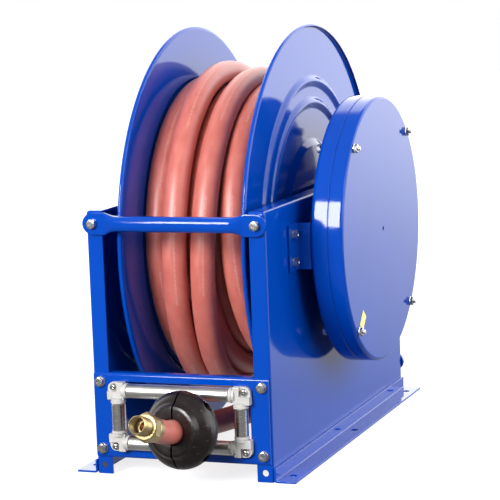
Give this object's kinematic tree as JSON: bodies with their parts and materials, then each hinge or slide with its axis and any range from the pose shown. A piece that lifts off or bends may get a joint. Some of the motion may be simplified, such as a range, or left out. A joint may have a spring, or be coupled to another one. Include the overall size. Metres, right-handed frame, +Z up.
{
  "type": "fire hose reel",
  "caption": "Spring-rewind fire hose reel: a drum of rubber hose on an axle between folded steel side panels, with a roller guide, ball stop and threaded hose end.",
  "frame": {"origin": "centre of the footprint on the floor, between the side panels, without the hose", "axes": "+Z up, -Y the side that the hose leaves by, +X the spring canister's side, along the axle"},
  "size_m": [0.4219, 0.8359, 0.617],
  "materials": {
    "blue_paint": "gloss",
    "zinc_plate": "satin",
    "roller_steel": "polished",
    "white_nylon": "matte",
    "hose_rubber": "satin",
    "black_rubber": "semi-gloss",
    "brass": "polished",
    "spring_steel": "satin"
  },
  "bodies": {
    "frame": {"left_side_panel": "blue_paint", "left_base_angle": "blue_paint", "left_bearing": "zinc_plate", "right_side_panel": "blue_paint", "right_base_angle": "blue_paint", "right_bearing": "zinc_plate", "front_tie_bar": "blue_paint", "rear_upper_tie_bar": "blue_paint", "rear_lower_tie_bar": "blue_paint", "front_tie_bar_left_bolt": "zinc_plate", "front_tie_bar_right_bolt": "zinc_plate", "rear_upper_tie_bar_left_bolt": "zinc_plate", "rear_upper_tie_bar_right_bolt": "zinc_plate", "rear_lower_tie_bar_left_bolt": "zinc_plate", "rear_lower_tie_bar_right_bolt": "zinc_plate", "guide_plate": "blue_paint", "upper_left_guide_block": "white_nylon", "upper_left_block_screw": "zinc_plate", "upper_left_guide_bolt": "zinc_plate", "upper_right_guide_block": "white_nylon", "upper_right_block_screw": "zinc_plate", "upper_right_guide_bolt": "zinc_plate", "lower_left_guide_block": "white_nylon", "lower_left_block_screw": "zinc_plate", "lower_left_guide_bolt": "zinc_plate", "lower_right_guide_block": "white_nylon", "lower_right_block_screw": "zinc_plate", "lower_right_guide_bolt": "zinc_plate", "canister_base_pan": "blue_paint", "canister_cover": "blue_paint", "canister_front_upper_bolt": "zinc_plate", "canister_rear_upper_bolt": "zinc_plate", "canister_front_lower_bolt": "zinc_plate", "canister_rear_lower_bolt": "zinc_plate", "canister_bracket": "blue_paint", "bracket_upper_bolt": "zinc_plate", "bracket_lower_bolt": "zinc_plate", "power_spring": "spring_steel", "pawl_pin": "zinc_plate"},
    "drum": {"left_drum_disc": "blue_paint", "right_drum_disc": "blue_paint", "left_hub_flange": "zinc_plate", "right_hub_flange": "zinc_plate", "axle": "zinc_plate", "drum_core": "blue_paint", "outlet_elbow": "brass", "ratchet_wheel": "zinc_plate", "spring_arbor": "zinc_plate", "hose_winding": "hose_rubber"},
    "upper_roller_body": {"upper_roller": "roller_steel"},
    "lower_roller_body": {"lower_roller": "roller_steel"},
    "left_roller_body": {"left_roller": "roller_steel"},
    "right_roller_body": {"right_roller": "roller_steel"},
    "pawl_body": {"pawl": "zinc_plate"},
    "inlet_body": {"inlet_swivel": "brass"},
    "hose_end": {"hose_run": "hose_rubber", "left_ball_half": "black_rubber", "right_ball_half": "black_rubber", "hose_fitting": "brass"}
  },
  "joints": [
    {"name": "drum_spin", "type": "hinge", "parent": "frame", "child": "drum", "pos_m": [0, 0.0005, 0.312], "axis": [-1, 0, 0], "range_deg": [0, 360], "stiffness_Nm_per_rad": 0.25, "springref_deg": -3437.75},
    {"name": "hose_pull", "type": "slide", "parent": "frame", "child": "hose_end", "axis": [-0.1183, -0.9859, 0.1183], "range_m": [0, 1.5]},
    {"name": "upper_roller_spin", "type": "hinge", "parent": "frame", "child": "upper_roller_body", "pos_m": [0, -0.3245, 0.1235], "axis": [1, 0, 0], "continuous": true},
    {"name": "lower_roller_spin", "type": "hinge", "parent": "frame", "child": "lower_roller_body", "pos_m": [0, -0.3245, 0.0485], "axis": [1, 0, 0], "continuous": true},
    {"name": "left_roller_spin", "type": "hinge", "parent": "frame", "child": "left_roller_body", "pos_m": [-0.092, -0.3245, 0.086], "axis": [0, 0, 1], "continuous": true},
    {"name": "right_roller_spin", "type": "hinge", "parent": "frame", "child": "right_roller_body", "pos_m": [0.092, -0.3245, 0.086], "axis": [0, 0, 1], "continuous": true},
    {"name": "pawl_swing", "type": "hinge", "parent": "frame", "child": "pawl_body", "pos_m": [0.1105, -0.07699, 0.30478], "axis": [-1, 0, 0], "range_deg": [0, 9], "stiffness_Nm_per_rad": 0.02, "springref_deg": -57.3},
    {"name": "inlet_turn", "type": "hinge", "parent": "frame", "child": "inlet_body", "pos_m": [-0.16, 0.0005, 0.312], "axis": [1, 0, 0], "continuous": true}
  ],
  "couplings": [
    {"joint": "hose_pull", "follows": "drum_spin", "m_per_rad": 0.236}
  ]
}
